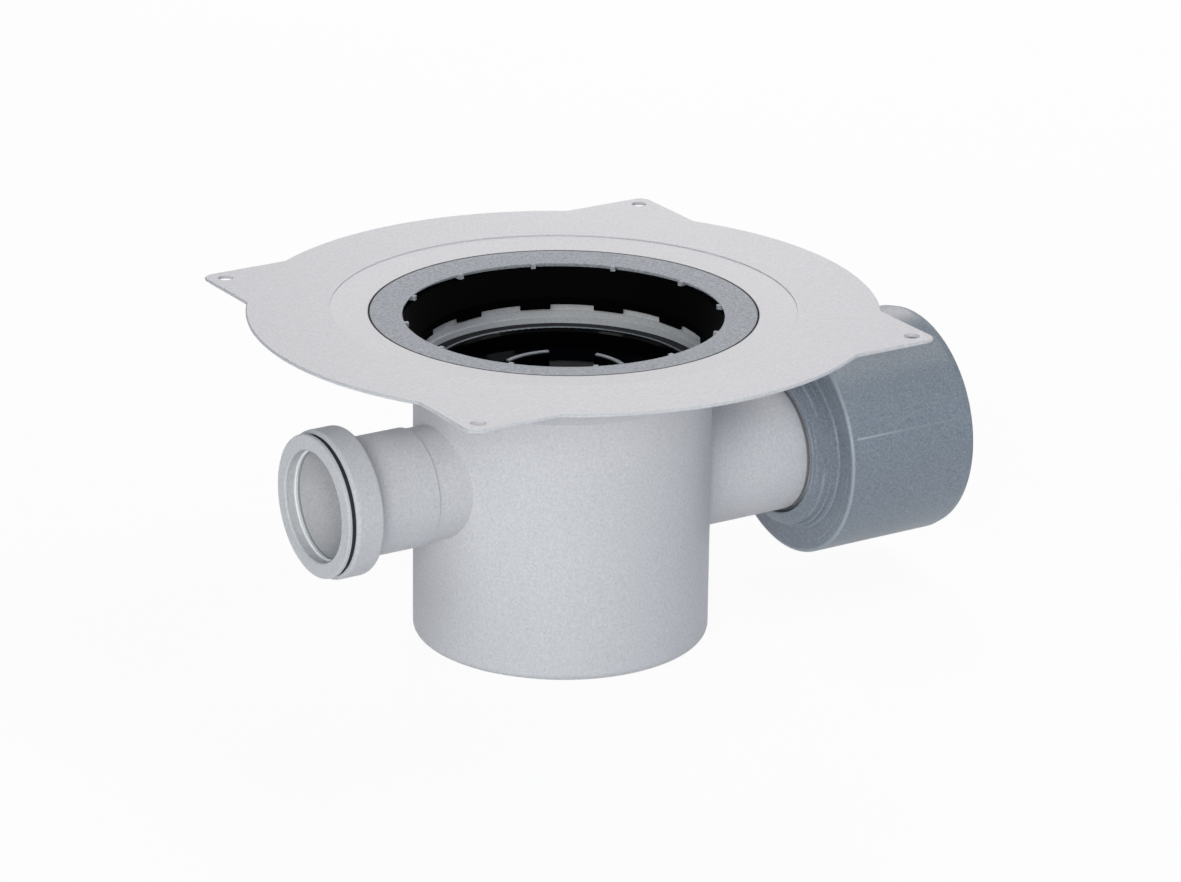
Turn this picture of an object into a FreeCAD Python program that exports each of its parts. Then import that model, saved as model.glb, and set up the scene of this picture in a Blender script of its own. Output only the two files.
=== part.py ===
import FreeCAD, Part
import os
import Sketcher

# Floor drain body with flange, side inlet, outlet adapter and lift-out trap. All sizes in mm.
# Frame: pot axis on Z, pot underside at Z = 0, outlet along +X, inlet along -X.

DRIVING = [
    # pot and rim
    ("pot_radius", 55.0),
    ("pot_wall", 2.5),
    ("pot_floor", 3.0),
    ("pot_edge", 3.0),
    ("rim_height", 125.5),
    # throat, going down from the rim
    ("recess_deep", 6.3),
    ("seal_seat_deep", 10.8),
    ("band_deep", 9.0),
    ("band_low", 3.6),
    ("band_mid", 2.6),
    ("band_step", 0.6),
    ("trap_ledge_wide", 1.2),
    ("seal_ledge_wide", 4.7),
    ("throat_wall", 2.6),
    # flange and ears
    ("flange_thick", 1.3),
    ("flange_edge", 0.45),
    ("flange_flat", 30.4),
    ("funnel_wide", 14.05),
    ("funnel_drop", 1.7),
    ("funnel_step", 0.4),
    ("ear_inset", 18.1),
    ("ear_corner", 4.5),
    ("ear_root", 3.0),
    ("ear_hole_radius", 2.9),
    ("ear_hole_out", 12.7),
    ("ear_count", 4),
    # clamping ring and throat seal
    ("ring_overhang", 0.7),
    ("ring_wide", 12.0),
    ("ring_slope", 1.0),
    ("ring_lip_thick", 0.5),
    ("ring_lip_long", 2.3),
    ("ring_foot", 4.6),
    ("nib_wide", 1.7),
    ("nib_long", 1.5),
    ("nib_thick", 1.6),
    ("seal_flange_thick", 1.5),
    ("seal_mouth_in", 0.45),
    ("seal_neck_in", 1.9),
    ("seal_neck_long", 3.0),
    ("seal_lip_thick", 0.9),
    ("lug_deep", 1.9),
    ("lug_angle", 12.3),
    ("lug_phase", 9.5),
    ("lug_count", 12),
    # outlet spigot and adapter
    ("outlet_drop", 70.7),
    ("outlet_pipe", 25.0),
    ("spigot_wall", 1.8),
    ("spigot_root", 3.0),
    ("spigot_bevel", 1.5),
    ("spigot_free", 38.4),
    ("spigot_socket_deep", 22.2),
    ("hub_wall", 2.3),
    ("hub_chamfer", 1.3),
    ("hub_rise", 7.0),
    ("adapter_face_deep", 7.8),
    ("adapter_wall", 1.8),
    ("adapter_web", 2.4),
    ("adapter_edge", 0.7),
    ("adapter_bevel_long", 2.8),
    ("mouth_pipe", 37.5),
    ("mouth_deep", 38.9),
    ("mouth_chamfer", 1.0),
    ("mouth_groove_deep", 3.8),
    ("mouth_groove_long", 7.0),
    ("mouth_groove_back", 5.4),
    ("spigot_groove_deep", 4.2),
    ("spigot_groove_long", 5.0),
    ("spigot_groove_back", 4.5),
    # inlet socket, its seal and cap
    ("inlet_drop", 58.0),
    ("inlet_turn", 180.0),
    ("inlet_pipe", 20.0),
    ("socket_wall", 1.85),
    ("socket_long", 25.6),
    ("neck_long", 10.0),
    ("neck_step", 0.8),
    ("shoulder_long", 0.7),
    ("stop_step", 2.1),
    ("bead_long", 11.4),
    ("bead_wall", 2.05),
    ("bead_edge", 1.6),
    ("bead_groove_deep", 5.3),
    ("bead_groove_long", 2.8),
    ("collar_thick", 1.7),
    ("cap_thick", 1.4),
    ("cap_inset", 1.05),
    ("cap_edge", 0.6),
    ("cap_shank_wall", 1.8),
    ("cap_shank_long", 3.6),
    ("cap_lip", 0.55),
    # trap cup, its ring seal and the bell
    ("cup_floor_z", 24.0),
    ("cup_wall", 2.0),
    ("cup_shoulder", 4.6),
    ("cup_taper", 4.0),
    ("cup_head_deep", 7.4),
    ("cup_rim_thick", 1.5),
    ("cup_rim_wide", 4.8),
    ("cup_rim_edge", 1.1),
    ("cup_groove_drop", 1.9),
    ("cup_groove_high", 3.2),
    ("cup_groove_deep", 1.7),
    ("weir_radius", 20.0),
    ("weir_wall", 1.8),
    ("weir_gap", 9.0),
    ("bell_gap", 7.0),
    ("bell_wall", 2.0),
    ("bell_lift", 6.0),
    ("bell_top_drop", 5.4),
    ("bell_dome", 7.0),
    ("foot_wide", 6.0),
    ("foot_count", 4),
    ("fin_thick", 2.0),
    ("fin_high", 26.0),
    ("fin_drop", 10.0),
    ("bell_turn", 8.0),
    ("grip_margin", 5.5),
    ("grip_thick", 3.0),
    ("grip_high", 6.4),
    ("grip_angle", 46.0),
    ("grip_edge", 1.2),
    ("grip_turn", 12.0),
    ("grip_count", 4),
    # clearances
    ("fit_gap", 0.3),
    ("ring_gap", 0.45),
    ("pipe_gap", 0.1),
    ("lip_gap", 0.05),
    ("seal_gap", 0.1),
    ("head_gap", 0.9),
]


class Dim:
    """A size that keeps its expression beside its present value."""

    def __init__(self, text, value):
        self.text = text
        self.value = value

    def join(self, sign, other, value):
        text = other.text if isinstance(other, Dim) else repr(float(other))
        return Dim("(%s %s %s)" % (self.text, sign, text), value)

    def __add__(self, other):
        return self.join("+", other, self.value + number(other))

    def __sub__(self, other):
        return self.join("-", other, self.value - number(other))

    def __mul__(self, other):
        return self.join("*", other, self.value * number(other))


class Sizes:
    """All sizes by name, driving and derived."""


def number(item):
    return item.value if isinstance(item, Dim) else float(item)


def bind(item, path, size):
    item.setExpression(path, size.text)


doc = FreeCAD.newDocument("FloorDrain")
sheet = doc.addObject("Spreadsheet::Sheet", "Dims")
d = Sizes()
for row, (alias, value) in enumerate(DRIVING, start=1):
    sheet.set("A%d" % row, alias)
    sheet.set("B%d" % row, str(value))
    sheet.setAlias("B%d" % row, alias)
    setattr(d, alias, Dim("Dims." + alias, value))
doc.recompute()

# Radii derived outwards from the pot wall
d.pot_inner = d.pot_radius - d.pot_wall
d.trap_seat = d.pot_inner + d.trap_ledge_wide
d.band_radius = d.trap_seat + d.band_step * 2
d.throat_radius = d.band_radius + d.seal_ledge_wide
d.throat_outer = d.throat_radius + d.throat_wall
d.ring_inner = d.throat_radius - d.ring_overhang
d.ring_outer = d.ring_inner + d.ring_wide
d.ring_step = d.ring_outer - d.ring_foot
d.recess_radius = d.ring_outer + d.ring_gap
d.funnel_radius = d.recess_radius + d.funnel_wide
d.flange_radius = d.funnel_radius + d.flange_flat
d.ear_half = d.flange_radius - d.ear_inset
d.ear_hole_circle = d.flange_radius + d.ear_hole_out
d.seal_neck = d.band_radius - d.seal_neck_in

# Heights derived downwards from the rim
d.flange_under = d.rim_height - d.flange_thick
d.ring_top = d.rim_height - d.funnel_drop
d.recess_floor = d.rim_height - d.recess_deep
d.seal_ledge = d.recess_floor - d.seal_seat_deep
d.trap_ledge = d.seal_ledge - d.band_deep
d.outlet_z = d.rim_height - d.outlet_drop
d.inlet_z = d.rim_height - d.inlet_drop

# Outlet: spigot and adapter along +X
d.adapter_start = d.pot_radius + d.spigot_free
d.spigot_end = d.adapter_start + d.spigot_socket_deep - d.fit_gap
d.spigot_bore = d.outlet_pipe - d.spigot_wall
d.hub_bore = d.outlet_pipe + d.fit_gap
d.hub_radius = d.hub_bore + d.hub_wall
d.mouth_radius = d.mouth_pipe + d.fit_gap
d.mouth_groove_radius = d.mouth_radius + d.mouth_groove_deep
d.spigot_groove_radius = d.hub_bore + d.spigot_groove_deep
d.adapter_radius = d.mouth_groove_radius + d.adapter_wall
d.mouth_floor = d.spigot_socket_deep + d.adapter_web
d.adapter_long = d.mouth_floor + d.mouth_deep
d.mouth_groove_start = d.adapter_long - d.mouth_groove_back - d.mouth_groove_long

# Inlet: socket, bead and cap along -X
d.socket_bore = d.inlet_pipe + d.pipe_gap
d.socket_radius = d.socket_bore + d.socket_wall
d.neck_radius = d.socket_radius - d.neck_step
d.neck_bore = d.socket_bore - d.stop_step
d.socket_start = d.pot_radius + d.neck_long
d.bead_start = d.socket_start + d.socket_long
d.bead_end = d.bead_start + d.bead_long
d.bead_groove_radius = d.socket_bore + d.bead_groove_deep
d.bead_groove_start = d.bead_end - d.bead_groove_long
d.bead_radius = d.bead_groove_radius + d.bead_wall
d.cap_back = d.bead_end + d.collar_thick
d.cap_face = d.cap_back + d.cap_thick
d.cap_radius = d.bead_radius - d.cap_inset
d.cap_bore = d.socket_bore + d.cap_lip
d.cap_shank_radius = d.cap_bore + d.cap_shank_wall
d.cap_shank_end = d.cap_back - d.cap_shank_long
d.inlet_lip = d.inlet_pipe + d.lip_gap

# Trap: cup hung from the ledge, bell standing in the cup
d.cup_rim_z = d.trap_ledge + d.cup_rim_thick
d.cup_rim_outer = d.trap_seat - d.fit_gap
d.cup_head = d.pot_inner - d.head_gap
d.cup_head_z = d.trap_ledge - d.cup_head_deep
d.cup_shoulder_z = d.cup_head_z - d.cup_taper
d.cup_groove_top = d.trap_ledge - d.cup_groove_drop
d.cup_groove_low = d.cup_groove_top - d.cup_groove_high
d.cup_groove_radius = d.cup_head - d.cup_groove_deep
d.cup_radius = d.cup_head - d.cup_shoulder
d.cup_inner = d.cup_radius - d.cup_wall
d.cup_floor_top = d.cup_floor_z + d.cup_wall
d.bell_radius = d.cup_inner - d.bell_gap
d.bell_inner = d.bell_radius - d.bell_wall
d.bell_skirt = d.cup_floor_top + d.bell_lift
d.bell_top = d.trap_ledge - d.bell_top_drop
d.bell_under = d.bell_top - d.bell_wall
d.weir_top = d.bell_under - d.weir_gap
d.grip_radius = d.bell_radius - d.bell_dome - d.grip_margin


# Helpers: bodies, profiles and features

def new_body(label, along=None, height=None, turn=None, clockwise=False):
    body = doc.addObject("PartDesign::Body", label)
    body.Label = label
    if turn is not None:
        spin_axis = FreeCAD.Vector(0, 0, -1 if clockwise else 1)
        body.Placement = FreeCAD.Placement(FreeCAD.Vector(), FreeCAD.Rotation(spin_axis, number(turn)))
        bind(body, "Placement.Rotation.Angle", turn)
    if along is not None:
        bind(body, "Placement.Base.x", along)
    if height is not None:
        bind(body, "Placement.Base.z", height)
    return body


def origin_item(body, role):
    return next(item for item in body.Origin.OriginFeatures if item.Role == role)


def new_sketch(body, name, role, offset=(None, None, None), spin=None):
    sketch = body.newObject("Sketcher::SketchObject", name)
    sketch.AttachmentSupport = [(origin_item(body, role), "")]
    sketch.MapMode = "FlatFace"
    if spin is not None:
        turn = FreeCAD.Rotation(FreeCAD.Vector(0, 1, 0), number(spin))
        sketch.AttachmentOffset = FreeCAD.Placement(FreeCAD.Vector(), turn)
        bind(sketch, "AttachmentOffset.Rotation.Angle", spin)
    for letter, size in zip("xyz", offset):
        if size is not None:
            bind(sketch, "AttachmentOffset.Base." + letter, size)
    sketch.Visibility = False
    return sketch


def pin(sketch, kind, index, point, size, name):
    """Hold one coordinate of a point at a size from the sketch origin."""
    if number(size) == 0.0:
        axis = -2 if kind == "DistanceX" else -1
        sketch.addConstraint(Sketcher.Constraint("PointOnObject", index, point, axis))
        return
    made = sketch.addConstraint(Sketcher.Constraint(kind, -1, 1, index, point, number(size)))
    sketch.renameConstraint(made, name)
    bind(sketch, "Constraints." + name, size)


def outline(sketch, points):
    """Closed outline through points given as pairs of sizes."""
    count = len(points)
    flat = [FreeCAD.Vector(number(x), number(y), 0) for x, y in points]
    for index in range(count):
        sketch.addGeometry(Part.LineSegment(flat[index], flat[(index + 1) % count]), False)
    for index in range(count):
        sketch.addConstraint(Sketcher.Constraint("Coincident", index, 2, (index + 1) % count, 1))
    for index, (x, y) in enumerate(points):
        pin(sketch, "DistanceX", index, 1, x, "across_%d" % index)
        pin(sketch, "DistanceY", index, 1, y, "up_%d" % index)
    return sketch


def turned(body, name, points, axis="V_Axis", cut=False, sweep=None, rise=None, spin=None):
    """Profile in the XZ plane swept about its own upright or level axis."""
    sketch = outline(new_sketch(body, name + "Profile", "XZ_Plane", (None, rise, None), spin), points)
    feature = body.newObject("PartDesign::Groove" if cut else "PartDesign::Revolution", name)
    feature.Profile = sketch
    feature.ReferenceAxis = (sketch, [axis])
    feature.Angle = 360.0
    if sweep is not None:
        feature.Midplane = True
        bind(feature, "Angle", sweep)
    body.Tip = feature
    return feature


def padded(body, name, points, role, long, offset=(None, None, None), both_ways=False):
    """Outline in an origin plane given a thickness."""
    sketch = outline(new_sketch(body, name + "Profile", role, offset), points)
    feature = body.newObject("PartDesign::Pad", name)
    feature.Profile = sketch
    feature.Midplane = both_ways
    bind(feature, "Length", long)
    body.Tip = feature
    return feature


def radial_block(body, name, start, end, wide, low, high):
    """Block lying along the X axis, centred on it, between two radii and two heights."""
    corners = [(start, 0), (end, 0), (end, wide), (start, wide)]
    return padded(body, name, corners, "XY_Plane", high - low, (None, wide * -0.5, low))


def spread(body, name, feature, count):
    """Repeat a feature evenly about the body's Z axis."""
    pattern = body.newObject("PartDesign::PolarPattern", name)
    pattern.Originals = [feature]
    pattern.Axis = (origin_item(body, "Z_Axis"), [""])
    pattern.Angle = 360.0
    bind(pattern, "Occurrences", count)
    body.Tip = pattern
    return pattern


def rounded(body, name, size, chosen, flat=False):
    """Round the edges of the present tip that the given test picks, or cut them flat."""
    doc.recompute()
    base = body.Tip
    names = ["Edge%d" % n for n, edge in enumerate(base.Shape.Edges, start=1) if chosen(edge)]
    if not names:
        raise RuntimeError("no edge found for " + name)
    easing = body.newObject("PartDesign::Chamfer" if flat else "PartDesign::Fillet", name)
    easing.Base = (base, names)
    bind(easing, "Size" if flat else "Radius", size)
    body.Tip = easing
    return easing


def near(first, second):
    return abs(first - second) < 0.02


def circle_test(radius, axis, level):
    """Test for a full circle of a radius whose centre lies at a level on an axis."""
    def test(edge):
        if not isinstance(edge.Curve, Part.Circle):
            return False
        return near(edge.Curve.Radius, number(radius)) and near(getattr(edge.Curve.Center, axis), number(level))
    return test


def upright_test(first, second):
    """Test for an upright straight edge whose distances from the two axes are the given pair."""
    def test(edge):
        if len(edge.Vertexes) != 2 or not isinstance(edge.Curve, Part.Line):
            return False
        top, low = (vertex.Point for vertex in edge.Vertexes)
        reach = sorted((abs(top.x), abs(top.y)))
        upright = near(top.x, low.x) and near(top.y, low.y)
        return upright and near(reach[0], first) and near(reach[1], second)
    return test


# Drain body: one moulding of pot, throat, flange, four ears, outlet spigot and inlet socket

def drain_body():
    body = new_body("drain_body")
    recess_under = d.recess_floor - d.throat_wall
    turned(body, "Shell", [
        (0, 0),
        (d.pot_radius, 0),
        (d.pot_radius, d.trap_ledge),
        (d.band_radius + d.throat_wall, d.trap_ledge + d.throat_wall),
        (d.throat_outer, d.seal_ledge - d.throat_wall),
        (d.throat_outer, recess_under),
        (d.recess_radius + d.throat_wall * 0.7, recess_under),
        (d.recess_radius + d.throat_wall, d.recess_floor),
        (d.recess_radius + d.throat_wall, d.ring_top - d.flange_thick * 1.5),
        (d.funnel_radius + d.throat_wall, d.flange_under),
        (d.flange_radius, d.flange_under),
        (d.flange_radius, d.rim_height),
        (0, d.rim_height),
    ])
    rounded(body, "PotEdge", d.pot_edge, circle_test(d.pot_radius, "z", 0.0))

    side = d.ear_half * 2
    corner = d.ear_half * -1
    padded(body, "Ears", [(0, 0), (side, 0), (side, side), (0, side)], "XY_Plane",
           d.flange_thick, (corner, corner, d.flange_under))
    reach = d.ear_half.value
    root = (d.flange_radius.value ** 2 - reach ** 2) ** 0.5
    rounded(body, "EarTips", d.ear_corner, upright_test(reach, reach))
    rounded(body, "EarRoots", d.ear_root, upright_test(root, reach))

    def plate_edge(edge):
        box = edge.BoundBox
        level = near(box.ZMin, d.rim_height.value) or near(box.ZMax, d.flange_under.value)
        outside = all((end.X ** 2 + end.Y ** 2) ** 0.5 > reach for end in edge.Vertexes)
        return near(box.ZMin, box.ZMax) and level and outside

    rounded(body, "PlateEdge", d.flange_edge, plate_edge, flat=True)

    turned(body, "Spigot", [
        (0, 0),
        (d.spigot_end, 0),
        (d.spigot_end, d.outlet_pipe - d.spigot_wall * 0.5),
        (d.spigot_end - d.spigot_bevel, d.outlet_pipe),
        (0, d.outlet_pipe),
    ], axis="H_Axis", rise=d.outlet_z)

    def spigot_on_pot(edge):
        box = edge.BoundBox
        outside = 0 < box.XMin and box.XMax < d.pot_radius.value + 0.1
        round_spigot = near(box.ZMax, d.outlet_z.value + d.outlet_pipe.value)
        return outside and round_spigot and near(box.YMax, d.outlet_pipe.value)

    rounded(body, "SpigotRoot", d.spigot_root, spigot_on_pot)

    turned(body, "Socket", [
        (0, 0),
        (d.bead_end, 0),
        (d.bead_end, d.bead_radius),
        (d.bead_start, d.bead_radius),
        (d.bead_start, d.socket_radius),
        (d.socket_start, d.socket_radius),
        (d.socket_start - d.shoulder_long, d.neck_radius),
        (0, d.neck_radius),
    ], axis="H_Axis", rise=d.inlet_z, spin=d.inlet_turn)
    rounded(body, "BeadFront", d.bead_edge, circle_test(d.bead_radius, "x", d.bead_end * -1))
    rounded(body, "BeadBack", d.bead_edge, circle_test(d.bead_radius, "x", d.bead_start * -1))

    above = d.rim_height + d.throat_wall
    band_mid_radius = d.trap_seat + d.band_step
    band_low_z = d.trap_ledge + d.band_low
    band_mid_z = band_low_z + d.band_mid
    turned(body, "Cavity", [
        (0, d.pot_floor),
        (d.pot_inner, d.pot_floor),
        (d.pot_inner, d.trap_ledge),
        (d.trap_seat, d.trap_ledge),
        (d.trap_seat, band_low_z),
        (band_mid_radius, band_low_z),
        (band_mid_radius, band_mid_z),
        (d.band_radius, band_mid_z),
        (d.band_radius, d.seal_ledge),
        (d.throat_radius, d.seal_ledge),
        (d.throat_radius, d.recess_floor),
        (d.recess_radius, d.recess_floor),
        (d.recess_radius, d.ring_top),
        (d.funnel_radius, d.rim_height - d.funnel_step),
        (d.funnel_radius, above),
        (0, above),
    ], cut=True)
    beyond_spigot = d.spigot_end + d.spigot_bevel
    turned(body, "SpigotBore", [
        (0, 0),
        (beyond_spigot, 0),
        (beyond_spigot, d.spigot_bore),
        (0, d.spigot_bore),
    ], axis="H_Axis", cut=True, rise=d.outlet_z)
    beyond_bead = d.bead_end + d.bead_edge
    turned(body, "SocketBore", [
        (0, 0),
        (beyond_bead, 0),
        (beyond_bead, d.bead_groove_radius),
        (d.bead_groove_start, d.bead_groove_radius),
        (d.bead_groove_start, d.socket_bore),
        (d.socket_start, d.socket_bore),
        (d.socket_start, d.neck_bore),
        (0, d.neck_bore),
    ], axis="H_Axis", cut=True, rise=d.inlet_z, spin=d.inlet_turn)

    sketch = new_sketch(body, "EarHoleProfile", "XY_Plane", (None, None, d.rim_height))
    place = d.ear_hole_circle * (0.5 ** 0.5)
    centre = FreeCAD.Vector(number(place), number(place), 0)
    sketch.addGeometry(Part.Circle(centre, FreeCAD.Vector(0, 0, 1), number(d.ear_hole_radius)), False)
    pin(sketch, "DistanceX", 0, 3, place, "across")
    pin(sketch, "DistanceY", 0, 3, place, "up")
    made = sketch.addConstraint(Sketcher.Constraint("Radius", 0, number(d.ear_hole_radius)))
    sketch.renameConstraint(made, "hole")
    bind(sketch, "Constraints.hole", d.ear_hole_radius)
    hole = body.newObject("PartDesign::Pocket", "EarHole")
    hole.Profile = sketch
    bind(hole, "Length", d.flange_thick * 2)
    body.Tip = hole
    spread(body, "EarHoles", hole, d.ear_count)
    return body


# Clamping ring with twelve nibs, lying in the flange recess over the throat seal

def clamp_ring():
    body = new_body("clamp_ring", turn=d.lug_phase)
    seat = d.recess_floor + d.seal_flange_thick + d.seal_gap
    inner_top = d.ring_top - d.ring_slope
    lip_under = inner_top - d.ring_lip_thick
    wall = d.ring_inner + d.ring_lip_long
    turned(body, "Ring", [
        (wall, seat),
        (d.ring_step, seat),
        (d.ring_step, d.recess_floor),
        (d.ring_outer, d.recess_floor),
        (d.ring_outer, d.ring_top),
        (d.ring_inner, inner_top),
        (d.ring_inner, lip_under),
        (wall, lip_under),
    ])
    nib = radial_block(body, "Nib", d.ring_inner - d.nib_long, wall + d.nib_long * 0.5, d.nib_wide,
                       inner_top - d.nib_thick, inner_top)
    spread(body, "Nibs", nib, d.lug_count)
    return body


# Throat seal: tapered rubber sleeve with a clamped flange and twelve lugs on its lower edge

def throat_seal():
    body = new_body("throat_seal", turn=d.lug_phase)
    outer = d.throat_radius - d.seal_gap
    flange_top = d.recess_floor + d.seal_flange_thick
    flange_end = d.ring_step - d.fit_gap
    turned(body, "Sleeve", [
        (d.seal_neck, d.seal_ledge),
        (outer, d.seal_ledge),
        (outer, d.recess_floor),
        (flange_end, d.recess_floor),
        (flange_end, flange_top),
        (d.ring_inner - d.seal_mouth_in, flange_top),
        (d.seal_neck, d.seal_ledge + d.seal_neck_long),
    ])
    lug_outer = d.seal_neck + d.seal_lip_thick
    lug_low = d.seal_ledge - d.lug_deep
    lug_high = d.seal_ledge + d.seal_lip_thick * 0.5
    lug = turned(body, "Lug", [
        (d.seal_neck, lug_low),
        (lug_outer, lug_low),
        (lug_outer, lug_high),
        (d.seal_neck, lug_high),
    ], sweep=d.lug_angle)
    spread(body, "Lugs", lug, d.lug_count)
    return body


# Outlet adapter: stepped hub on the spigot, wide socket for the next pipe size

def outlet_adapter():
    body = new_body("outlet_adapter", along=d.adapter_start, height=d.outlet_z)
    rise = d.hub_rise
    deep = d.adapter_face_deep
    end = d.adapter_long
    mouth_groove_end = d.mouth_groove_start + d.mouth_groove_long
    spigot_groove_end = d.spigot_groove_back + d.spigot_groove_long
    turned(body, "Sleeve", [
        (d.hub_chamfer, d.hub_bore),
        (0, d.hub_bore + d.hub_chamfer),
        (0, d.hub_radius),
        (deep * 0.06, d.hub_radius + rise * 0.06),
        (deep * 0.10, d.hub_radius + rise * 0.19),
        (deep * 0.20, d.hub_radius + rise * 0.24),
        (deep * 0.33, d.hub_radius + rise * 0.57),
        (deep * 0.66, d.hub_radius + rise * 0.64),
        (deep * 0.70, d.hub_radius + rise * 0.76),
        (deep * 0.87, d.hub_radius + rise * 0.80),
        (deep * 0.91, d.hub_radius + rise * 0.94),
        (deep, d.hub_radius + rise),
        (deep, d.adapter_radius - d.adapter_edge),
        (deep + d.adapter_edge, d.adapter_radius),
        (end - d.adapter_bevel_long, d.adapter_radius),
        (end, d.adapter_radius - d.adapter_edge),
        (end, d.mouth_radius + d.mouth_chamfer),
        (end - d.mouth_chamfer, d.mouth_radius),
        (mouth_groove_end, d.mouth_radius),
        (mouth_groove_end, d.mouth_groove_radius),
        (d.mouth_groove_start, d.mouth_groove_radius),
        (d.mouth_groove_start, d.mouth_radius),
        (d.mouth_floor, d.mouth_radius),
        (d.mouth_floor, d.spigot_bore),
        (d.spigot_socket_deep, d.spigot_bore),
        (d.spigot_socket_deep, d.hub_bore),
        (spigot_groove_end, d.hub_bore),
        (spigot_groove_end, d.spigot_groove_radius),
        (d.spigot_groove_back, d.spigot_groove_radius),
        (d.spigot_groove_back, d.hub_bore),
    ], axis="H_Axis")
    return body


# Lip seals of the adapter: one grips the spigot, one waits for the next pipe

def lip_seal(label, start, long, outer, bore, pipe):
    body = new_body(label, along=d.adapter_start, height=d.outlet_z)
    base = bore + d.fit_gap * 2
    lip = pipe + d.seal_gap
    first = start + d.seal_gap
    last = start + long - d.seal_gap
    outside = outer - d.seal_gap
    turned(body, "Lip", [
        (first, outside),
        (first, base),
        (start + long * 0.25, base),
        (start + long * 0.5, lip),
        (start + long * 0.75, base),
        (last, base),
        (last, outside),
    ], axis="H_Axis")
    return body


# Inlet seal in the bead groove, and the cap whose shank holds it there

def inlet_seal():
    body = new_body("inlet_seal", height=d.inlet_z, turn=d.inlet_turn)
    first = d.bead_groove_start + d.seal_gap
    outside = d.bead_groove_radius - d.seal_gap
    collar = d.cap_radius - d.fit_gap
    hole = d.cap_shank_radius + d.seal_gap
    web = d.cap_shank_end - d.seal_gap
    turned(body, "Seal", [
        (first, d.inlet_lip),
        (first, outside),
        (d.bead_end, outside),
        (d.bead_end, collar),
        (d.cap_back, collar),
        (d.cap_back, hole),
        (web, hole),
        (web, d.inlet_lip),
    ], axis="H_Axis")
    return body


def inlet_cap():
    body = new_body("inlet_cap", height=d.inlet_z, turn=d.inlet_turn)
    lip_end = d.cap_shank_end + d.cap_lip * 1.4
    bevel = d.cap_lip * 0.8
    turned(body, "Cap", [
        (d.cap_shank_end, d.socket_bore),
        (d.cap_shank_end, d.cap_shank_radius),
        (d.cap_back, d.cap_shank_radius),
        (d.cap_back, d.cap_radius),
        (d.cap_face, d.cap_radius),
        (d.cap_face, d.cap_bore + bevel),
        (d.cap_face - bevel, d.cap_bore),
        (lip_end, d.cap_bore),
        (lip_end, d.socket_bore),
    ], axis="H_Axis")
    rounded(body, "FaceEdge", d.cap_edge, circle_test(d.cap_radius, "x", d.cap_face))
    return body


# Trap: cup with overflow pipe, ring seal round the cup head, bell over the pipe

def trap_cup():
    body = new_body("trap_cup")
    head_inner = d.cup_groove_radius - d.cup_wall
    turned(body, "Cup", [
        (d.weir_radius - d.weir_wall, d.cup_floor_z),
        (d.cup_radius, d.cup_floor_z),
        (d.cup_radius, d.cup_shoulder_z),
        (d.cup_head, d.cup_head_z),
        (d.cup_head, d.cup_groove_low),
        (d.cup_groove_radius, d.cup_groove_low),
        (d.cup_groove_radius, d.cup_groove_top),
        (d.cup_head, d.cup_groove_top),
        (d.cup_head, d.trap_ledge),
        (d.cup_rim_outer, d.trap_ledge),
        (d.cup_rim_outer, d.cup_rim_z),
        (d.cup_rim_outer - d.cup_rim_wide, d.cup_rim_z),
        (head_inner, d.trap_ledge),
        (head_inner, d.cup_head_z + d.cup_wall * 0.5),
        (d.cup_inner, d.cup_shoulder_z + d.cup_wall * 0.5),
        (d.cup_inner, d.cup_floor_top),
        (d.weir_radius, d.cup_floor_top),
        (d.weir_radius, d.weir_top),
        (d.weir_radius - d.weir_wall, d.weir_top),
    ])
    rim_inner = d.cup_rim_outer - d.cup_rim_wide
    rounded(body, "RimEdge", d.cup_rim_edge, circle_test(rim_inner, "z", d.cup_rim_z))
    return body


def trap_seal():
    body = new_body("trap_seal")
    low = d.cup_groove_low + d.seal_gap
    high = d.cup_groove_top - d.seal_gap
    inner = d.cup_groove_radius + d.seal_gap
    outer = d.pot_inner - d.seal_gap
    middle = d.cup_groove_low + d.cup_groove_high * 0.5
    turned(body, "Ring", [
        (inner, low),
        (d.cup_head, low),
        (outer, middle - d.seal_lip_thick * 0.5),
        (outer, middle + d.seal_lip_thick * 0.5),
        (d.cup_head, high),
        (inner, high),
    ])
    return body


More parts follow.
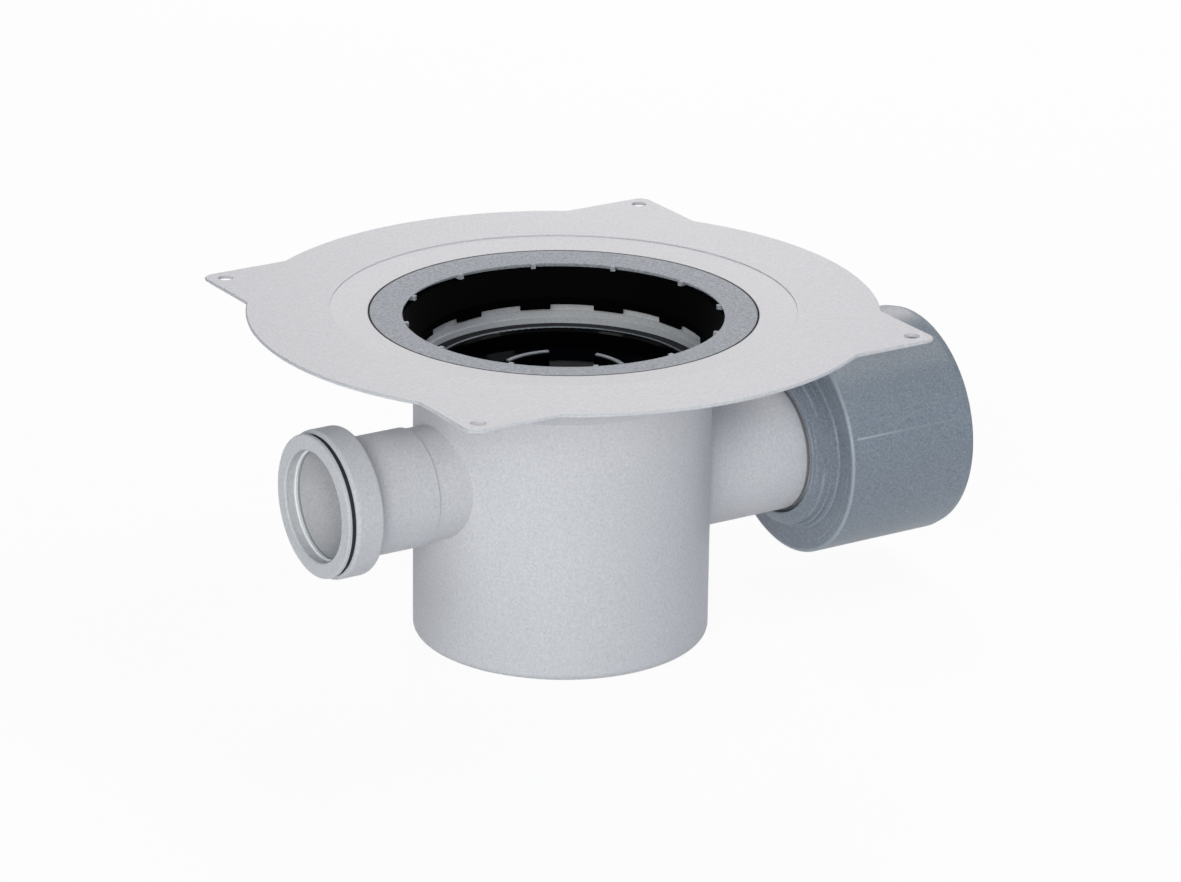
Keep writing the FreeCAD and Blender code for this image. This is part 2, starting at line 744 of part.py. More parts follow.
def trap_bell():
    body = new_body("trap_bell", turn=d.bell_turn, clockwise=True)
    shoulder = d.bell_top - d.bell_dome
    in_wall = d.bell_radius - d.bell_wall * 0.5
    turned(body, "Bell", [
        (0, d.bell_under),
        (d.bell_inner - d.bell_dome, d.bell_under),
        (d.bell_inner, shoulder - d.bell_wall * 0.5),
        (d.bell_inner, d.bell_skirt),
        (d.bell_radius, d.bell_skirt),
        (d.bell_radius, shoulder),
        (d.bell_radius - d.bell_dome, d.bell_top),
        (0, d.bell_top),
    ])
    foot = radial_block(body, "Foot", d.bell_inner + d.seal_gap, d.bell_radius - d.seal_gap * 5, d.foot_wide,
                        d.cup_floor_top, d.bell_skirt + d.bell_wall)
    spread(body, "Feet", foot, d.foot_count)

    fin_top = d.bell_top - d.fin_drop
    fin_low = fin_top - d.fin_high
    fin_end = d.cup_inner - d.fit_gap
    fin = padded(body, "Fin", [
        (in_wall, fin_low),
        (fin_end, fin_low + d.bell_dome),
        (fin_end, fin_top),
        (in_wall, fin_top),
    ], "XZ_Plane", d.fin_thick, both_ways=True)
    spread(body, "Fins", fin, d.foot_count)

    root = d.bell_top - d.bell_wall * 0.5
    grip_top = d.bell_top + d.grip_high
    grip_inner = d.grip_radius - d.grip_thick
    grip = turned(body, "Grip", [
        (grip_inner, root),
        (d.grip_radius, root),
        (d.grip_radius, grip_top),
        (grip_inner, grip_top),
    ], sweep=d.grip_angle, spin=d.grip_turn)
    spread(body, "Grips", grip, d.grip_count)
    outer_edge = circle_test(d.grip_radius, "z", grip_top)
    inner_edge = circle_test(grip_inner, "z", grip_top)
    rounded(body, "GripEdges", d.grip_edge, lambda edge: outer_edge(edge) or inner_edge(edge))
    return body


bodies = [
    drain_body(),
    clamp_ring(),
    throat_seal(),
    trap_cup(),
    trap_seal(),
    trap_bell(),
    inlet_seal(),
    inlet_cap(),
    outlet_adapter(),
    lip_seal("spigot_seal", d.spigot_groove_back, d.spigot_groove_long, d.spigot_groove_radius,
             d.hub_bore, d.outlet_pipe),
    lip_seal("mouth_seal", d.mouth_groove_start, d.mouth_groove_long, d.mouth_groove_radius,
             d.mouth_radius, d.mouth_pipe),
]
doc.recompute()

for item in doc.Objects:
    if "Invalid" in item.State or "Error" in item.State:
        raise RuntimeError("bad state: " + item.Name)
for body in bodies:
    shape = body.Shape
    if shape.isNull() or not shape.isValid() or len(shape.Solids) != 1:
        raise RuntimeError("bad shape: " + body.Label)

os.makedirs("parts", exist_ok=True)
for body in bodies:
    print(body.Label, round(body.Shape.Volume / 1000.0, 2), "cm3")
    body.Shape.exportStep("parts/" + body.Label + ".step")
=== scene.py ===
"""Finishes, studio and camera for a floor drain body, built around its packed construction."""

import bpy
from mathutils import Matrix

bl_info = {
    "name": "Floor Drain Finishes",
    "version": (1, 0, 0),
    "blender": (4, 5, 0),
    "location": "View3D > Sidebar > Drain",
    "description": "Gives each piece of a floor drain body its moulded finish and sets up the studio",
    "category": "Material",
}

import math
from typing import NamedTuple

import bpy
from bpy.props import FloatProperty, FloatVectorProperty, PointerProperty
from mathutils import Matrix, Vector

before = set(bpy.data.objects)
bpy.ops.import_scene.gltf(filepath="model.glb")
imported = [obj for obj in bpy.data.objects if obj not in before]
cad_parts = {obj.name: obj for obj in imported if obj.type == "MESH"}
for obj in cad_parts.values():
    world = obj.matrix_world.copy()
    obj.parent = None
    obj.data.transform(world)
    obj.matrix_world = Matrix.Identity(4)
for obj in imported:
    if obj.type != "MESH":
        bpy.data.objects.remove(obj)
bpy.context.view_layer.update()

# Pieces that share a finish

MOULDED_NODES = ("drain_body", "inlet_cap")
RING_NODES = ("clamp_ring",)
SEAL_NODES = ("throat_seal", "trap_seal", "inlet_seal", "spigot_seal", "mouth_seal")
TRAP_NODES = ("trap_cup", "trap_bell")
ADAPTER_NODES = ("outlet_adapter",)

# Camera and floor

SENSOR_WIDE = 36.0
PHOTO_WIDE = 1181.0
PHOTO_FOCAL = 4988.2
FLOOR_ROUGH = 0.9
FLOOR_SPECULAR = 0.1
HORIZON_DARK = 0.75
HORIZON_WHITE = 0.25

# Mould grain

MIDDLE_TONE = 0.5
FINE_DETAIL = 2.0
CLOUDS_PER_METRE = 22.0
CLOUD_DETAIL = 3.0
ROUGH_SWING = 0.2
GRAIN_INPUTS = (("Size", 0.001), ("Fine", 0.2), ("Broad", 0.1))

# Sockets of a colour mix, by number because their names repeat

MIX_FACTOR = 0
MIX_COLOURS = (6, 7)
MIX_RESULT = 2
BLACK = (0.0, 0.0, 0.0)
WHITE = (1.0, 1.0, 1.0)

# Heights of the pipe axes, and of the painted highlight streaks in rings on the adapter's face and along
# its parting line

OUTLET_HIGH = 0.0548
INLET_HIGH = 0.0675
FACE_END = 0.1014
FACE_RINGS_PER_METRE = 1100.0
FACE_RINGS_FROM = 0.48
FACE_RINGS_FULL = 0.68
FACE_BREAKS_PER_METRE = 45.0
FACE_BREAKS_FROM = 0.40
FACE_BREAKS_FULL = 0.62
FACE_HIGHLIGHT_AMOUNT = 0.4
PARTING_HIGH = 0.0676
PARTING_REACH = 0.0005
PARTING_START = 0.1040
PARTING_END = 0.1300
PARTING_LEFT = 0.15
PARTING_HIGHLIGHT_AMOUNT = 0.55

# Tints of the marks, which paint shade in gaps, highlights on edges and the rubber's own paler tints, and
# the share of a mark's reach that shows in full

PAINTED_SHADE_TINT = (0.02, 0.022, 0.025)
PALE_HIGHLIGHT_TINT = (0.85, 0.86, 0.88)
GREY_HIGHLIGHT_TINT = (0.34, 0.36, 0.40)
GLINT_TINT = (0.55, 0.59, 0.65)
LIP_TINT = (0.42, 0.44, 0.48)
RIM_TINT = (0.035, 0.041, 0.052)
MARK_CORE = 0.5


class ThroatLine(NamedTuple):
    """Line round the pot's axis: radius, half width, height it starts from, tint and strength."""

    name: str
    radius: float
    reach: float
    low: float
    tint: tuple
    amount: float


class PipeLine(NamedTuple):
    """Line round a pipe along X: axis height, place, half width, two radii, tint and strength."""

    name: str
    high: float
    middle: float
    reach: float
    least: float
    most: float
    tint: tuple
    amount: float


# Painted shade: a dark line in the gap round the clamping ring's outer edge, on the ring and on the
# body's recess.
RING_GAP_SHADE = ThroatLine("RingSeam", 0.07112, 0.00062, 0.1190, PAINTED_SHADE_TINT, 0.9)
# Painted highlight: a light line on the rounded inner edge of the trap cup's rim.
CUP_RIM_HIGHLIGHT = ThroatLine("CupScuff", 0.0491, 0.0005, 0.1000, GREY_HIGHLIGHT_TINT, 0.8)
# Painted highlight: light lines on the tops of the bell's lifting grips.
GRIP_HIGHLIGHT = ThroatLine("GripScuff", 0.0237, 0.0011, 0.0998, GREY_HIGHLIGHT_TINT, 0.8)
# Painted shade: a dark line in the gap where the spigot enters the adapter's hub.
SPIGOT_GAP_SHADE = PipeLine("SpigotSeam", OUTLET_HIGH, 0.0935, 0.0009, 0.0200, 0.0258, PAINTED_SHADE_TINT, 0.65)
# Painted highlight: a pale line round the inner edge of the inlet's mouth.
MOUTH_RIM_HIGHLIGHT = PipeLine("MouthRim", INLET_HIGH, -0.1007, 0.0009, 0.0190, 0.0215, PALE_HIGHLIGHT_TINT, 1.0)
LIP_DUST = PipeLine("LipDust", INLET_HIGH, -0.1015, 0.0060, 0.0190, 0.0212, LIP_TINT, 0.9)
RIM_DUST = PipeLine("RimDust", INLET_HIGH, -0.1015, 0.0060, 0.0225, 0.0300, RIM_TINT, 1.0)
# Painted shade: a dark line on the hub's inner edge, in the gap round the spigot.
HUB_GAP_SHADE = PipeLine("HubEdge", OUTLET_HIGH, 0.0936, 0.0010, 0.0250, 0.0266, PAINTED_SHADE_TINT, 0.80)
# Painted highlight: a light line on the chamfer at the adapter's front edge.
ADAPTER_EDGE_HIGHLIGHT = PipeLine("AdapterEdge", OUTLET_HIGH, 0.1016, 0.0006, 0.0420, 0.0440, GLINT_TINT, 0.4)


class Lamp(NamedTuple):
    """Soft lamp aimed at the drain: turned from the camera's azimuth, in degrees and metres."""

    name: str
    turn: float
    elevation: float
    distance: float
    wide: float
    high: float
    tint: tuple


LAMPS = (
    Lamp("front", -8.0, 15.0, 1.8, 1.2, 0.8, (0.99, 1.0, 0.95)),
    Lamp("left", -45.0, 34.0, 1.8, 0.6, 0.6, (0.92, 1.0, 0.88)),
    Lamp("right", 70.0, 44.0, 1.8, 0.6, 1.5, (0.87, 0.99, 1.0)),
    Lamp("back", 180.0, 34.0, 1.8, 0.6, 0.8, (1.0, 0.92, 0.88)),
    Lamp("outlet", 115.0, 56.0, 1.8, 0.8, 0.8, (1.0, 0.96, 0.88)),
)


# Properties

def colour(name, description, default):
    return FloatVectorProperty(name=name, description=description, subtype="COLOR", size=3,
                               min=0.0, max=1.0, default=default)


def share(name, description, default):
    return FloatProperty(name=name, description=description, subtype="FACTOR",
                         min=0.0, max=1.0, default=default)


def length(name, description, default):
    return FloatProperty(name=name, description=description, unit="LENGTH", min=0.0, default=default)


def angle(name, description, degrees):
    return FloatProperty(name=name, description=description, subtype="ANGLE",
                         default=math.radians(degrees))


def power(name, description, default):
    return FloatProperty(name=name, description=description, min=0.0, default=default)


class DrainMoulding(bpy.types.PropertyGroup):
    """Finish of the light grey body and inlet cap"""

    colour: colour("Colour", "Colour of the light grey plastic", (0.615, 0.608, 0.645))
    rough: share("Roughness", "Roughness of the eroded mould surface", 0.55)
    specular: share("Specular", "Strength of the surface's reflection", 0.35)
    grain: length("Grain size", "Width of one grain of the mould surface", 0.0009)
    depth: length("Grain depth", "Height of the grain", 0.00004)
    fine: share("Fine tone", "How far the grain changes the colour", 0.22)
    broad: share("Broad tone", "How far slow clouding changes the colour", 0.02)


class DrainRing(bpy.types.PropertyGroup):
    """Finish of the clamping ring"""

    colour: colour("Colour", "Colour of the mid grey plastic", (0.37, 0.385, 0.425))
    rough: share("Roughness", "Roughness of the satin ring", 0.6)
    specular: share("Specular", "Strength of the surface's reflection", 0.1)
    grain: length("Grain size", "Width of one grain of the ring's surface", 0.0010)
    depth: length("Grain depth", "Height of the grain", 0.00003)
    fine: share("Fine tone", "How far the grain changes the colour", 0.70)
    broad: share("Broad tone", "How far slow clouding changes the colour", 0.04)


class DrainRubber(bpy.types.PropertyGroup):
    """Finish of the rubber seals"""

    colour: colour("Colour", "Colour of the black rubber", (0.001, 0.001, 0.001))
    rough: share("Roughness", "Roughness of the rubber", 0.6)
    specular: share("Specular", "Strength of the surface's reflection", 0.015)
    grain: length("Grain size", "Width of one grain of the rubber", 0.0007)
    depth: length("Grain depth", "Height of the grain", 0.00003)
    fine: share("Fine tone", "How far the grain changes the colour", 0.30)
    broad: share("Broad tone", "How far slow clouding changes the colour", 0.20)


class DrainTrap(bpy.types.PropertyGroup):
    """Finish of the black trap insert"""

    colour: colour("Colour", "Colour of the glossy black plastic", (0.0015, 0.0015, 0.002))
    rough: share("Roughness", "Roughness of the glossy plastic", 0.10)
    specular: share("Specular", "Strength of the surface's reflection", 0.06)
    grain: length("Ripple size", "Width of one ripple of the glossy surface", 0.004)
    depth: length("Ripple depth", "Height of the ripple", 0.00002)
    fine: share("Fine tone", "How far the ripple changes the colour", 0.20)
    broad: share("Broad tone", "How far slow clouding changes the colour", 0.20)


class DrainAdapter(bpy.types.PropertyGroup):
    """Finish of the outlet adapter"""

    colour: colour("Colour", "Colour of the darker grey plastic", (0.214, 0.247, 0.297))
    rough: share("Roughness", "Roughness of the smooth plastic", 0.42)
    specular: share("Specular", "Strength of the surface's reflection", 0.45)
    grain: length("Grain size", "Width of one grain of the smooth plastic", 0.0008)
    depth: length("Grain depth", "Height of the grain", 0.000006)
    fine: share("Fine tone", "How far the grain changes the colour", 0.55)
    broad: share("Broad tone", "How far slow clouding changes the colour", 0.03)


class DrainStudio(bpy.types.PropertyGroup):
    """Viewpoint and light of the studio"""

    azimuth: angle("Azimuth", "Turn of the camera about the pot's axis", -32.41)
    elevation: angle("Elevation", "Height of the camera above the floor, as an angle", 20.21)
    roll: angle("Roll", "Tilt of the camera about its own view", 0.755)
    distance: length("Distance", "From the aim point to the camera", 1.8381)
    focal: FloatProperty(name="Focal length", description="Lens of the camera, in mm", min=1.0,
                         default=PHOTO_FOCAL / PHOTO_WIDE * SENSOR_WIDE)
    aim: FloatVectorProperty(name="Aim", description="Point that the camera looks at", unit="LENGTH",
                             size=3, default=(0.00908, -0.00515, 0.07314))
    floor: colour("Floor", "Colour of the floor", (0.86, 0.86, 0.87))
    floor_reach: length("Floor reach", "Half the side of the floor", 6.0)
    floor_white: share("Floor white", "How far the floor shows white in place of its shaded colour", 0.94)
    fill: power("Fill", "Strength of the room's own light", 0.10)
    fill_colour: colour("Fill colour", "Colour of the room's own light", (0.22, 0.52, 1.0))
    front: power("Front", "Power of the low lamp beside the camera, in watts", 18.7)
    left: power("Left", "Power of the lamp on the inlet's side, in watts", 4.8)
    right: power("Right", "Power of the lamp on the outlet's side, in watts", 4.6)
    outlet: power("Outlet", "Power of the high lamp beyond the outlet, in watts", 9.6)
    back: power("Back", "Power of the lamp behind the drain, in watts", 13.2)


# Shader helpers

def new_group(name, inputs, outputs):
    """Empty shader node group with named value inputs and outputs."""
    group = bpy.data.node_groups.new(name, "ShaderNodeTree")
    for title, default in inputs:
        socket = group.interface.new_socket(name=title, in_out="INPUT", socket_type="NodeSocketFloat")
        socket.default_value = default
    for title in outputs:
        group.interface.new_socket(name=title, in_out="OUTPUT", socket_type="NodeSocketFloat")
    start = group.nodes.new("NodeGroupInput")
    end = group.nodes.new("NodeGroupOutput")
    return group, start, end


def wire(tree, source, target):
    tree.links.new(source, target)


def feed(tree, item, target):
    """Give a socket a link or a plain value."""
    if isinstance(item, bpy.types.NodeSocket):
        wire(tree, item, target)
    else:
        target.default_value = item


def maths(tree, operation, first, second):
    """Math node on two sockets or plain numbers."""
    node = tree.nodes.new("ShaderNodeMath")
    node.operation = operation
    feed(tree, first, node.inputs[0])
    feed(tree, second, node.inputs[1])
    return node.outputs[0]


def mixed(tree, factor, first, second):
    """Blend of two colours, each a socket or four plain numbers."""
    node = tree.nodes.new("ShaderNodeMix")
    node.data_type = "RGBA"
    wire(tree, factor, node.inputs[MIX_FACTOR])
    for place, item in zip(MIX_COLOURS, (first, second)):
        feed(tree, item, node.inputs[place])
    return node.outputs[MIX_RESULT]


def opaque(tint):
    return (*tint, 1.0)


def noise(tree, vector, scale, detail):
    node = tree.nodes.new("ShaderNodeTexNoise")
    node.inputs["Detail"].default_value = detail
    wire(tree, vector, node.inputs["Vector"])
    feed(tree, scale, node.inputs["Scale"])
    return node.outputs["Fac"]


def stepped(tree, value, nothing, full):
    """Soft step from nothing at one value to one at another."""
    node = tree.nodes.new("ShaderNodeMapRange")
    node.interpolation_type = "SMOOTHSTEP"
    node.inputs["From Min"].default_value = nothing
    node.inputs["From Max"].default_value = full
    wire(tree, value, node.inputs["Value"])
    return node.outputs["Result"]


def swing(tree, mask, amount):
    """Part of a mask's departure from its middle."""
    return maths(tree, "MULTIPLY", maths(tree, "SUBTRACT", mask, MIDDLE_TONE), amount)


def object_place(tree):
    return tree.nodes.new("ShaderNodeTexCoord").outputs["Object"]


def grain_group():
    """Fine mould grain over slow clouding: a height, and a tone about the middle one."""
    name = "MouldGrain"
    if name in bpy.data.node_groups:
        return bpy.data.node_groups[name]
    group, start, end = new_group(name, GRAIN_INPUTS, ["Height", "Tone"])
    place = object_place(group)
    per_metre = maths(group, "DIVIDE", 1.0, start.outputs["Size"])
    fine = noise(group, place, per_metre, FINE_DETAIL)
    broad = noise(group, place, CLOUDS_PER_METRE, CLOUD_DETAIL)
    wire(group, fine, end.inputs["Height"])
    fine_swing = swing(group, fine, start.outputs["Fine"])
    broad_swing = swing(group, broad, start.outputs["Broad"])
    both = maths(group, "ADD", fine_swing, broad_swing)
    wire(group, maths(group, "ADD", both, MIDDLE_TONE), end.inputs["Tone"])
    return group


def toned_colour(tree, tone, base):
    """Colour that is the base at a middle tone, and darker or lighter in step with it."""
    brightest = [part / MIDDLE_TONE for part in base]
    return mixed(tree, tone, opaque(BLACK), opaque(brightest))


def nearness(tree, value, middle, reach):
    """One near the middle value, falling to nothing at the reach either side."""
    away = maths(tree, "ABSOLUTE", maths(tree, "SUBTRACT", value, middle), 0.0)
    return stepped(tree, away, reach, reach * MARK_CORE)


def place_parts(tree):
    """Three coordinates of the shaded point in the shared frame."""
    split = tree.nodes.new("ShaderNodeSeparateXYZ")
    wire(tree, object_place(tree), split.inputs[0])
    return split.outputs[0], split.outputs[1], split.outputs[2]


def radius_of(tree, first, second):
    """Distance from an axis, from the two coordinates across it."""
    first_square = maths(tree, "MULTIPLY", first, first)
    second_square = maths(tree, "MULTIPLY", second, second)
    return maths(tree, "SQRT", maths(tree, "ADD", first_square, second_square), 0.0)


def throat_mark(line):
    """Mask of a line round the pot's axis, built once."""
    if line.name in bpy.data.node_groups:
        return bpy.data.node_groups[line.name]
    group, _, end = new_group(line.name, [], ["Mask"])
    x, y, z = place_parts(group)
    ring = nearness(group, radius_of(group, x, y), line.radius, line.reach)
    above = maths(group, "GREATER_THAN", z, line.low)
    wire(group, maths(group, "MULTIPLY", ring, above), end.inputs["Mask"])
    return group


def pipe_mark(line):
    """Mask of a line round a pipe along X."""
    group, _, end = new_group(line.name, [], ["Mask"])
    x, y, z = place_parts(group)
    radius = radius_of(group, y, maths(group, "SUBTRACT", z, line.high))
    inside = maths(group, "LESS_THAN", radius, line.most)
    outside = maths(group, "GREATER_THAN", radius, line.least)
    between = maths(group, "MULTIPLY", inside, outside)
    band = nearness(group, x, line.middle, line.reach)
    wire(group, maths(group, "MULTIPLY", band, between), end.inputs["Mask"])
    return group


def parting_line_highlight():
    """Mask of the mould's parting line along the adapter, lightened as a painted highlight streak that is
    strongest at the end near its hub.
    """
    group, _, end = new_group("PartingLine", [], ["Mask"])
    x, y, z = place_parts(group)
    line = nearness(group, z, PARTING_HIGH, PARTING_REACH)
    front = maths(group, "LESS_THAN", y, 0.0)
    fade = group.nodes.new("ShaderNodeMapRange")
    fade.inputs["From Min"].default_value = PARTING_START
    fade.inputs["From Max"].default_value = PARTING_END
    fade.inputs["To Min"].default_value = 1.0
    fade.inputs["To Max"].default_value = PARTING_LEFT
    wire(group, x, fade.inputs["Value"])
    begun = maths(group, "GREATER_THAN", x, PARTING_START)
    seen = maths(group, "MULTIPLY", begun, fade.outputs["Result"])
    front_line = maths(group, "MULTIPLY", line, front)
    wire(group, maths(group, "MULTIPLY", front_line, seen), end.inputs["Mask"])
    return group


def face_ring_highlights():
    """Mask of painted highlight streaks in fine rings on the adapter's face, broken up round it."""
    group, _, end = new_group("FaceRings", [], ["Mask"])
    x, y, z = place_parts(group)
    outward = group.nodes.new("ShaderNodeCombineXYZ")
    wire(group, radius_of(group, y, maths(group, "SUBTRACT", z, OUTLET_HIGH)), outward.inputs[0])
    ripple = noise(group, outward.outputs[0], FACE_RINGS_PER_METRE, FINE_DETAIL)
    rings = stepped(group, ripple, FACE_RINGS_FROM, FACE_RINGS_FULL)
    patches = noise(group, object_place(group), FACE_BREAKS_PER_METRE, FINE_DETAIL)
    breaks = stepped(group, patches, FACE_BREAKS_FROM, FACE_BREAKS_FULL)
    face = maths(group, "LESS_THAN", x, FACE_END)
    broken = maths(group, "MULTIPLY", rings, breaks)
    wire(group, maths(group, "MULTIPLY", broken, face), end.inputs["Mask"])
    return group


def throat_marks(*lines):
    return [(throat_mark(line), line.tint, line.amount) for line in lines]


def pipe_marks(*lines):
    return [(pipe_mark(line), line.tint, line.amount) for line in lines]


def marked(tree, shade, group, tint, amount):
    """Colour taken towards a tint where a mask group says so."""
    mask = tree.nodes.new("ShaderNodeGroup")
    mask.node_tree = group
    strength = maths(tree, "MULTIPLY", mask.outputs["Mask"], amount)
    return mixed(tree, strength, shade, opaque(tint))


def plastic(name, look, marks):
    """Principled plastic whose colour, roughness and height come from the mould grain.

    Each of the marks is a mask group, the tint that it shows and how strongly.
    """
    material = bpy.data.materials.new(name)
    material.use_nodes = True
    tree = material.node_tree
    shader = tree.nodes["Principled BSDF"]
    grain = tree.nodes.new("ShaderNodeGroup")
    grain.node_tree = grain_group()
    grain.inputs["Size"].default_value = look.grain
    grain.inputs["Fine"].default_value = look.fine
    grain.inputs["Broad"].default_value = look.broad
    tone = grain.outputs["Tone"]
    shade = toned_colour(tree, tone, look.colour)
    for group, tint, amount in marks:
        shade = marked(tree, shade, group, tint, amount)
    wire(tree, shade, shader.inputs["Base Color"])
    rough = maths(tree, "ADD", look.rough, swing(tree, tone, ROUGH_SWING))
    wire(tree, rough, shader.inputs["Roughness"])
    bump = tree.nodes.new("ShaderNodeBump")
    bump.inputs["Distance"].default_value = look.depth
    wire(tree, grain.outputs["Height"], bump.inputs["Height"])
    wire(tree, bump.outputs["Normal"], shader.inputs["Normal"])
    shader.inputs["Specular IOR Level"].default_value = look.specular
    return material


def dress(nodes, material):
    for node in nodes:
        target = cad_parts[node]
        target.data.materials.clear()
        target.data.materials.append(material)


# Finishes

class DRAIN_OT_moulding(bpy.types.Operator):
    """Finish the light grey moulding"""

    bl_idname = "drain.moulding"
    bl_label = "Light grey moulding"

    def execute(self, context):
        # The marks paint shade in the ring's gap and at the spigot's end, and a highlight on the inlet's
        # mouth rim.
        marks = throat_marks(RING_GAP_SHADE) + pipe_marks(SPIGOT_GAP_SHADE, MOUTH_RIM_HIGHLIGHT)
        dress(MOULDED_NODES, plastic("LightGreyMoulding", context.scene.drain_moulding, marks))
        return {"FINISHED"}


class DRAIN_OT_ring(bpy.types.Operator):
    """Finish the clamping ring"""

    bl_idname = "drain.ring"
    bl_label = "Clamping ring"

    def execute(self, context):
        # The mark paints shade in the gap at the ring's outer edge.
        dress(RING_NODES, plastic("RingGrey", context.scene.drain_ring, throat_marks(RING_GAP_SHADE)))
        return {"FINISHED"}


class DRAIN_OT_rubber(bpy.types.Operator):
    """Finish the rubber seals"""

    bl_idname = "drain.rubber"
    bl_label = "Rubber seals"

    def execute(self, context):
        marks = pipe_marks(LIP_DUST, RIM_DUST)
        dress(SEAL_NODES, plastic("SealRubber", context.scene.drain_rubber, marks))
        return {"FINISHED"}


class DRAIN_OT_trap(bpy.types.Operator):
    """Finish the lift-out trap"""

    bl_idname = "drain.trap"
    bl_label = "Trap insert"

    def execute(self, context):
        # The marks paint highlights on the cup's rim edge and on the tops of the grips.
        marks = throat_marks(CUP_RIM_HIGHLIGHT, GRIP_HIGHLIGHT)
        dress(TRAP_NODES, plastic("TrapBlack", context.scene.drain_trap, marks))
        return {"FINISHED"}


class DRAIN_OT_adapter(bpy.types.Operator):
    """Finish the outlet adapter"""

    bl_idname = "drain.adapter"
    bl_label = "Outlet adapter"

    def execute(self, context):
        # The marks paint highlight streaks in the face's rings and along the parting line, a highlight on
        # the front edge, and shade at the hub's edge.
        rings = (face_ring_highlights(), GLINT_TINT, FACE_HIGHLIGHT_AMOUNT)
        parting = (parting_line_highlight(), GLINT_TINT, PARTING_HIGHLIGHT_AMOUNT)
        marks = [rings, *pipe_marks(HUB_GAP_SHADE), parting, *pipe_marks(ADAPTER_EDGE_HIGHLIGHT)]
        dress(ADAPTER_NODES, plastic("AdapterGrey", context.scene.drain_adapter, marks))
        return {"FINISHED"}


# Studio

def background_ray(tree):
    """One for rays that show the background: camera, glossy and transmission rays."""
    path = tree.nodes.new("ShaderNodeLightPath")
    seen = maths(tree, "MAXIMUM", path.outputs["Is Camera Ray"], path.outputs["Is Glossy Ray"])
    return maths(tree, "MAXIMUM", seen, path.outputs["Is Transmission Ray"])


def floor_material(studio):
    material = bpy.data.materials.new("StudioFloor")
    material.use_nodes = True
    tree = material.node_tree
    shader = tree.nodes["Principled BSDF"]
    shader.inputs["Base Color"].default_value = opaque(studio.floor)
    shader.inputs["Roughness"].default_value = FLOOR_ROUGH
    shader.inputs["Specular IOR Level"].default_value = FLOOR_SPECULAR
    white = tree.nodes.new("ShaderNodeEmission")
    mix = tree.nodes.new("ShaderNodeMixShader")
    wire(tree, maths(tree, "MULTIPLY", background_ray(tree), studio.floor_white), mix.inputs["Fac"])
    wire(tree, shader.outputs[0], mix.inputs[1])
    wire(tree, white.outputs[0], mix.inputs[2])
    wire(tree, mix.outputs[0], tree.nodes["Material Output"].inputs["Surface"])
    return material


def add_floor(studio):
    reach = studio.floor_reach
    corners = [(-reach, -reach, 0), (reach, -reach, 0), (reach, reach, 0), (-reach, reach, 0)]
    mesh = bpy.data.meshes.new("StudioFloor")
    mesh.from_pydata(corners, [], [(0, 1, 2, 3)])
    floor = bpy.data.objects.new("StudioFloor", mesh)
    floor.data.materials.append(floor_material(studio))
    bpy.context.scene.collection.objects.link(floor)


def set_world(studio):
    """Dim room that shows white to the camera, and near its horizon to reflections."""
    world = bpy.data.worlds.new("Studio")
    bpy.context.scene.world = world
    world.use_nodes = True
    tree = world.node_tree
    direction = tree.nodes.new("ShaderNodeTexCoord").outputs["Generated"]
    split = tree.nodes.new("ShaderNodeSeparateXYZ")
    wire(tree, direction, split.inputs[0])
    horizon = stepped(tree, split.outputs["Z"], HORIZON_DARK, HORIZON_WHITE)
    path = tree.nodes.new("ShaderNodeLightPath")
    mirrored = maths(tree, "MAXIMUM", path.outputs["Is Glossy Ray"], path.outputs["Is Transmission Ray"])
    white = maths(tree, "MULTIPLY", mirrored, horizon)
    shown = maths(tree, "MAXIMUM", path.outputs["Is Camera Ray"], white)
    dim = [part * studio.fill for part in studio.fill_colour]
    room = mixed(tree, shown, opaque(dim), opaque(WHITE))
    wire(tree, room, tree.nodes["Background"].inputs["Color"])


def area_light(lamp, place, aim, watts):
    data = bpy.data.lights.new(lamp.name, "AREA")
    data.shape = "RECTANGLE"
    data.size = lamp.wide
    data.size_y = lamp.high
    data.energy = watts
    data.color = lamp.tint
    light = bpy.data.objects.new(lamp.name, data)
    bpy.context.scene.collection.objects.link(light)
    light.location = place
    light.rotation_euler = (aim - place).to_track_quat("-Z", "Y").to_euler()


def polar(azimuth, elevation, distance):
    """Point at a distance from the origin, with azimuth 0 on the -Y side."""
    level = math.cos(elevation)
    return Vector((math.sin(azimuth) * level, -math.cos(azimuth) * level, math.sin(elevation))) * distance


def add_lamps(studio, aim):
    for lamp in LAMPS:
        turn = studio.azimuth + math.radians(lamp.turn)
        place = aim + polar(turn, math.radians(lamp.elevation), lamp.distance)
        area_light(lamp, place, aim, getattr(studio, lamp.name))


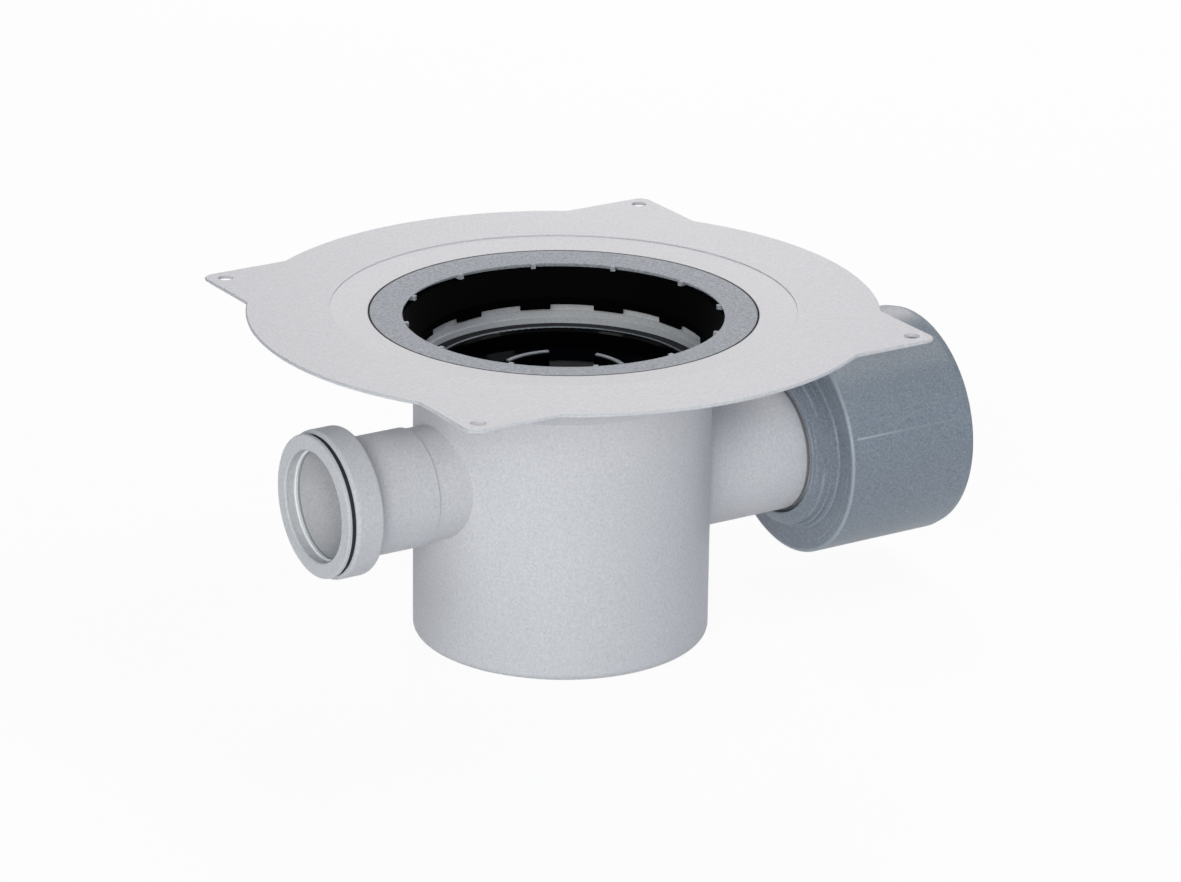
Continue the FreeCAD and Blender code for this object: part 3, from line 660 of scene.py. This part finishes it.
def add_camera(studio, aim):
    data = bpy.data.cameras.new("PhotoView")
    data.sensor_width = SENSOR_WIDE
    data.sensor_fit = "HORIZONTAL"
    data.lens = studio.focal
    camera = bpy.data.objects.new("PhotoView", data)
    bpy.context.scene.collection.objects.link(camera)
    bpy.context.scene.camera = camera
    back = polar(studio.azimuth, studio.elevation, 1.0)
    right = Vector((math.cos(studio.azimuth), math.sin(studio.azimuth), 0.0))
    up = back.cross(right)
    turn = Matrix((right, up, back)).transposed() @ Matrix.Rotation(studio.roll, 3, "Z")
    camera.matrix_world = Matrix.Translation(aim + back * studio.distance) @ turn.to_4x4()


class DRAIN_OT_studio(bpy.types.Operator):
    """Set up floor, lights and camera"""

    bl_idname = "drain.studio"
    bl_label = "Studio"

    def execute(self, context):
        studio = context.scene.drain_studio
        aim = Vector(studio.aim)
        add_floor(studio)
        set_world(studio)
        add_lamps(studio, aim)
        add_camera(studio, aim)
        context.scene.view_settings.view_transform = "Standard"
        return {"FINISHED"}


class DRAIN_PT_panel(bpy.types.Panel):
    """Sidebar list of the drain's finishes"""

    bl_idname = "DRAIN_PT_panel"
    bl_label = "Floor drain"
    bl_space_type = "VIEW_3D"
    bl_region_type = "UI"
    bl_category = "Drain"

    def draw(self, context):
        for operator in OPERATORS:
            self.layout.operator(operator.bl_idname)


GROUPS = {
    "drain_moulding": DrainMoulding,
    "drain_ring": DrainRing,
    "drain_rubber": DrainRubber,
    "drain_trap": DrainTrap,
    "drain_adapter": DrainAdapter,
    "drain_studio": DrainStudio,
}
OPERATORS = (
    DRAIN_OT_moulding,
    DRAIN_OT_ring,
    DRAIN_OT_rubber,
    DRAIN_OT_trap,
    DRAIN_OT_adapter,
    DRAIN_OT_studio,
)


def register():
    for item in (*GROUPS.values(), *OPERATORS, DRAIN_PT_panel):
        bpy.utils.register_class(item)
    for name, group in GROUPS.items():
        setattr(bpy.types.Scene, name, PointerProperty(type=group))


def unregister():
    for name in GROUPS:
        delattr(bpy.types.Scene, name)
    for item in (DRAIN_PT_panel, *OPERATORS, *GROUPS.values()):
        bpy.utils.unregister_class(item)


def main():
    register()
    bpy.ops.drain.moulding()
    bpy.ops.drain.ring()
    bpy.ops.drain.rubber()
    bpy.ops.drain.trap()
    bpy.ops.drain.adapter()
    bpy.ops.drain.studio()


if __name__ == "__main__":
    main()
